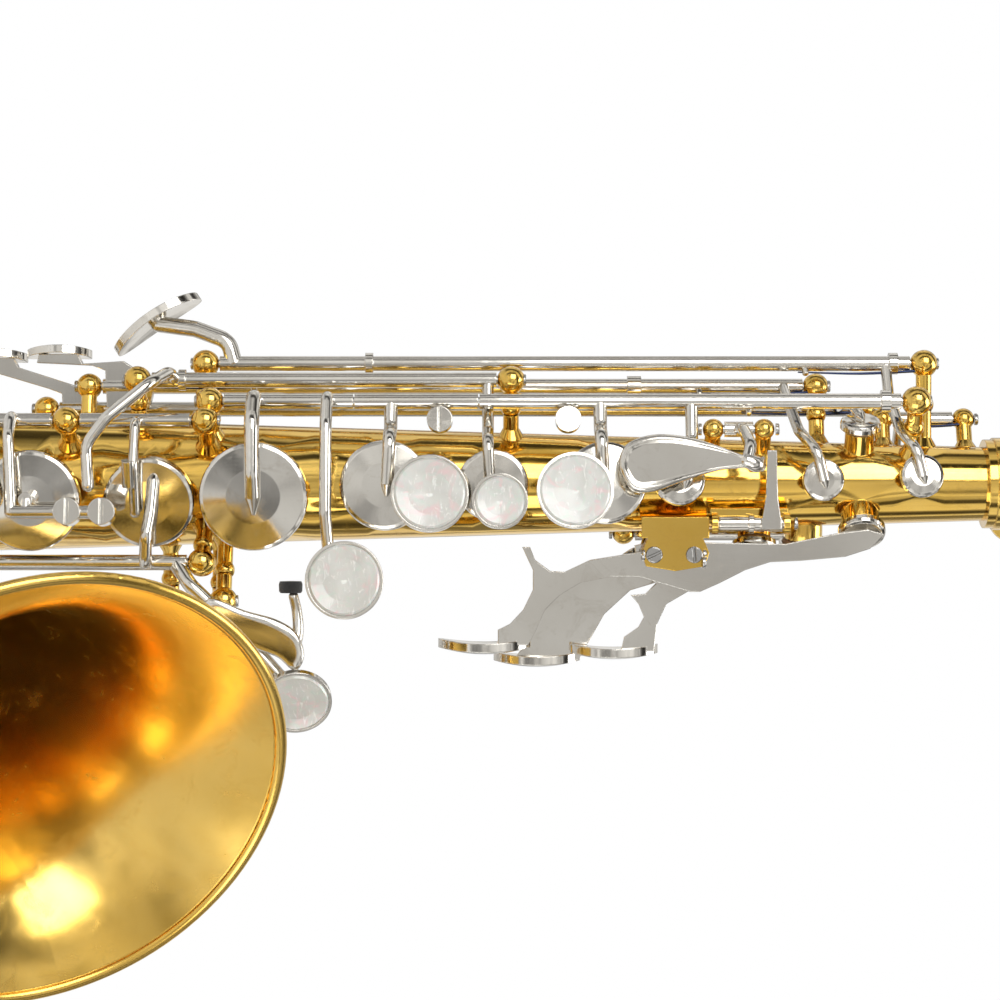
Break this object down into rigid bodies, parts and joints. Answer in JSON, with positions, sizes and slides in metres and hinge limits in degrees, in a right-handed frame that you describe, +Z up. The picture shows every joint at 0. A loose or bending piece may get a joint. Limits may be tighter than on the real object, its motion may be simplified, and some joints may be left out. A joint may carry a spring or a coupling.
{
  "type": "soprano saxophone",
  "caption": "Curved soprano saxophone: conical brass horn with upturned bell, crook, beak mouthpiece, and a full set of plated keys on ball-headed posts.",
  "frame": {"origin": "centre of the strap ring on the back of the body", "axes": "+Z up along the body tube towards the neck, -Y the front that the finger pearls face, +X the player's left"},
  "size_m": [0.1506, 0.2332, 0.4444],
  "materials": {
    "gold_lacquer": "polished, clear gold lacquer",
    "nickel": "polished nickel plate",
    "steel": "drawn steel rod",
    "cork": "natural cork",
    "ebonite": "polished hard rubber",
    "cane": "shaved cane",
    "pearl": "polished mother-of-pearl",
    "pad_leather": "tan leather"
  },
  "bodies": {
    "horn": {"body_tube": "gold_lacquer", "bow": "gold_lacquer", "bell": "gold_lacquer", "joint_rings": "gold_lacquer", "bell_brace": "gold_lacquer", "neck_receiver": "gold_lacquer", "neck_screw": "gold_lacquer", "neck": "gold_lacquer", "neck_cork": "cork", "mouthpiece": "ebonite", "ligature": "gold_lacquer", "reed": "cane", "posts": "gold_lacquer", "hinge_rods": "steel", "palm_saddle": "gold_lacquer", "bell_guards": "gold_lacquer", "thumb_hook": "gold_lacquer", "thumb_rest": "gold_lacquer", "strap_ring_and_lyre_socket": "gold_lacquer"},
    "g_key": {"g_key": "nickel", "g_pearl": "pearl", "g_pad": "pad_leather"},
    "a_key": {"a_key": "nickel", "a_pearl": "pearl", "a_pad": "pad_leather"},
    "b_key": {"b_key": "nickel", "b_pearl": "pearl", "b_pad": "pad_leather"},
    "bis_key": {"bis_key": "nickel", "bis_pearl": "pearl", "bis_pad": "pad_leather"},
    "gsharp_key": {"gsharp_key": "nickel", "gsharp_pearl": "pearl"},
    "trill_key": {"trill_key": "nickel"},
    "fsharp_key": {"fsharp_key": "nickel", "fsharp_pad": "pad_leather"},
    "side_e_key": {"side_e_key": "nickel"},
    "side_c_key": {"side_c_key": "nickel"},
    "side_bb_key": {"side_bb_key": "nickel"},
    "octave_vent_key": {"octave_vent_key": "nickel"},
    "octave_rocker": {"octave_rocker": "nickel"},
    "octave_thumb_lever": {"octave_thumb_lever": "nickel"},
    "front_f_lever": {"front_f_lever": "nickel"},
    "palm_f_key": {"palm_f_key": "nickel"},
    "palm_eb_key": {"palm_eb_key": "nickel"},
    "palm_d_key": {"palm_d_key": "nickel"},
    "low_eb_key": {"low_eb_key": "nickel"},
    "low_c_key": {"low_c_key": "nickel"},
    "low_csharp_key": {"low_csharp_key": "nickel"},
    "low_b_key": {"low_b_key": "nickel"},
    "low_bb_key": {"low_bb_key": "nickel"},
    "f_key": {"f_key": "nickel", "f_pearl": "pearl", "f_pad": "pad_leather"},
    "e_key": {"e_key": "nickel", "e_pearl": "pearl", "e_pad": "pad_leather"},
    "d_key": {"d_key": "nickel", "d_pearl": "pearl", "d_pad": "pad_leather"}
  },
  "joints": [
    {"name": "g_hinge", "type": "hinge", "parent": "horn", "child": "g_key", "pos_m": [-0.0185, -0.03566, -0.003], "axis": [0, 0, 1], "range_deg": [0, 7], "stiffness_Nm_per_rad": 0.03, "springref_deg": -22.92},
    {"name": "a_hinge", "type": "hinge", "parent": "horn", "child": "a_key", "pos_m": [-0.0185, -0.03566, 0.026], "axis": [0, 0, 1], "range_deg": [0, 7], "stiffness_Nm_per_rad": 0.03, "springref_deg": -22.92},
    {"name": "b_hinge", "type": "hinge", "parent": "horn", "child": "b_key", "pos_m": [-0.0185, -0.03566, 0.088], "axis": [0, 0, 1], "range_deg": [0, 7], "stiffness_Nm_per_rad": 0.03, "springref_deg": -22.92},
    {"name": "bis_hinge", "type": "hinge", "parent": "horn", "child": "bis_key", "pos_m": [-0.0235, -0.03016, 0.005], "axis": [0, 0, 1], "range_deg": [0, 6], "stiffness_Nm_per_rad": 0.03, "springref_deg": -22.92},
    {"name": "gsharp_hinge", "type": "hinge", "parent": "horn", "child": "gsharp_key", "pos_m": [0.0177, -0.03866, -0.045], "axis": [0, 0, 1], "range_deg": [0, 8], "stiffness_Nm_per_rad": 0.03, "springref_deg": -22.92},
    {"name": "fsharp_hinge", "type": "hinge", "parent": "horn", "child": "fsharp_key", "pos_m": [-0.014, -0.03916, -0.063], "axis": [0, 0, 1], "range_deg": [0, 7], "stiffness_Nm_per_rad": 0.03, "springref_deg": -22.92},
    {"name": "f_hinge", "type": "hinge", "parent": "horn", "child": "f_key", "pos_m": [-0.014, -0.03916, -0.086], "axis": [0, 0, 1], "range_deg": [0, 7], "stiffness_Nm_per_rad": 0.03, "springref_deg": -22.92},
    {"name": "e_hinge", "type": "hinge", "parent": "horn", "child": "e_key", "pos_m": [-0.014, -0.03916, -0.109], "axis": [0, 0, 1], "range_deg": [0, 7], "stiffness_Nm_per_rad": 0.03, "springref_deg": -22.92},
    {"name": "d_hinge", "type": "hinge", "parent": "horn", "child": "d_key", "pos_m": [-0.014, -0.03916, -0.135], "axis": [0, 0, 1], "range_deg": [0, 7], "stiffness_Nm_per_rad": 0.03, "springref_deg": -22.92},
    {"name": "trill_hinge", "type": "hinge", "parent": "horn", "child": "trill_key", "pos_m": [-0.014, -0.03916, -0.036], "axis": [0, 0, -1], "range_deg": [0, 10.5]},
    {"name": "side_e_hinge", "type": "hinge", "parent": "horn", "child": "side_e_key", "pos_m": [-0.0276, -0.02216, 0.057], "axis": [0, 0, -1], "range_deg": [0, 5], "stiffness_Nm_per_rad": 0.05, "springref_deg": -22.92},
    {"name": "side_c_hinge", "type": "hinge", "parent": "horn", "child": "side_c_key", "pos_m": [-0.0226, -0.01716, 0.037], "axis": [0, 0, -1], "range_deg": [0, 5], "stiffness_Nm_per_rad": 0.05, "springref_deg": -22.92},
    {"name": "side_bb_hinge", "type": "hinge", "parent": "horn", "child": "side_bb_key", "pos_m": [-0.0175, -0.01016, 0.031], "axis": [0, 0, -1], "range_deg": [0, 6], "stiffness_Nm_per_rad": 0.05, "springref_deg": -22.92},
    {"name": "octave_vent_hinge", "type": "hinge", "parent": "horn", "child": "octave_vent_key", "pos_m": [-0.015, -0.01566, 0.142], "axis": [0, 0, 1], "range_deg": [0, 8]},
    {"name": "octave_rocker_hinge", "type": "hinge", "parent": "horn", "child": "octave_rocker", "pos_m": [0.009, -0.03516, 0.101], "axis": [0, 0, 1], "range_deg": [0, 4]},
    {"name": "octave_thumb_hinge", "type": "hinge", "parent": "horn", "child": "octave_thumb_lever", "pos_m": [0.0115, -0.00716, 0.095], "axis": [0, 0, 1], "range_deg": [0, 6], "stiffness_Nm_per_rad": 0.03, "springref_deg": -22.92},
    {"name": "front_f_hinge", "type": "hinge", "parent": "horn", "child": "front_f_lever", "pos_m": [-0.0122, -0.03526, 0.0985], "axis": [0, 0, 1], "range_deg": [0, 4], "stiffness_Nm_per_rad": 0.03, "springref_deg": -22.92},
    {"name": "palm_f_hinge", "type": "hinge", "parent": "horn", "child": "palm_f_key", "pos_m": [0.016, -0.03356, 0.0886], "axis": [0, 1, 0], "range_deg": [0, 3.5], "stiffness_Nm_per_rad": 0.03, "springref_deg": -22.92},
    {"name": "palm_eb_hinge", "type": "hinge", "parent": "horn", "child": "palm_eb_key", "pos_m": [0.016, -0.02896, 0.0796], "axis": [0, 1, 0], "range_deg": [0, 5], "stiffness_Nm_per_rad": 0.03, "springref_deg": -22.92},
    {"name": "palm_d_hinge", "type": "hinge", "parent": "horn", "child": "palm_d_key", "pos_m": [0.016, -0.01936, 0.0796], "axis": [0, 1, 0], "range_deg": [0, 4], "stiffness_Nm_per_rad": 0.03, "springref_deg": -22.92},
    {"name": "low_eb_hinge", "type": "hinge", "parent": "horn", "child": "low_eb_key", "pos_m": [-0.027, -0.03066, -0.138], "axis": [0, 0, 1], "range_deg": [0, 8], "stiffness_Nm_per_rad": 0.03, "springref_deg": -22.92},
    {"name": "low_c_hinge", "type": "hinge", "parent": "horn", "child": "low_c_key", "pos_m": [-0.027, -0.03066, -0.173], "axis": [0, 0, 1], "range_deg": [0, 7], "stiffness_Nm_per_rad": 0.05, "springref_deg": -22.92},
    {"name": "low_csharp_hinge", "type": "hinge", "parent": "horn", "child": "low_csharp_key", "pos_m": [0.0265, -0.03266, -0.095], "axis": [0, 0, 1], "range_deg": [0, 5], "stiffness_Nm_per_rad": 0.05, "springref_deg": -22.92},
    {"name": "low_b_hinge", "type": "hinge", "parent": "horn", "child": "low_b_key", "pos_m": [0.0315, -0.02566, -0.08], "axis": [0, 0, -1], "range_deg": [0, 4], "stiffness_Nm_per_rad": 0.05, "springref_deg": -22.92},
    {"name": "low_bb_hinge", "type": "hinge", "parent": "horn", "child": "low_bb_key", "pos_m": [0.03, -0.01616, -0.065], "axis": [0, 0, -1], "range_deg": [0, 4], "stiffness_Nm_per_rad": 0.05, "springref_deg": -22.92}
  ],
  "couplings": [
    {"joint": "trill_hinge", "follows": "gsharp_hinge", "ratio": 1.25},
    {"joint": "octave_vent_hinge", "follows": "octave_thumb_hinge", "ratio": 1.33},
    {"joint": "octave_rocker_hinge", "follows": "octave_thumb_hinge", "ratio": 0.66}
  ]
}
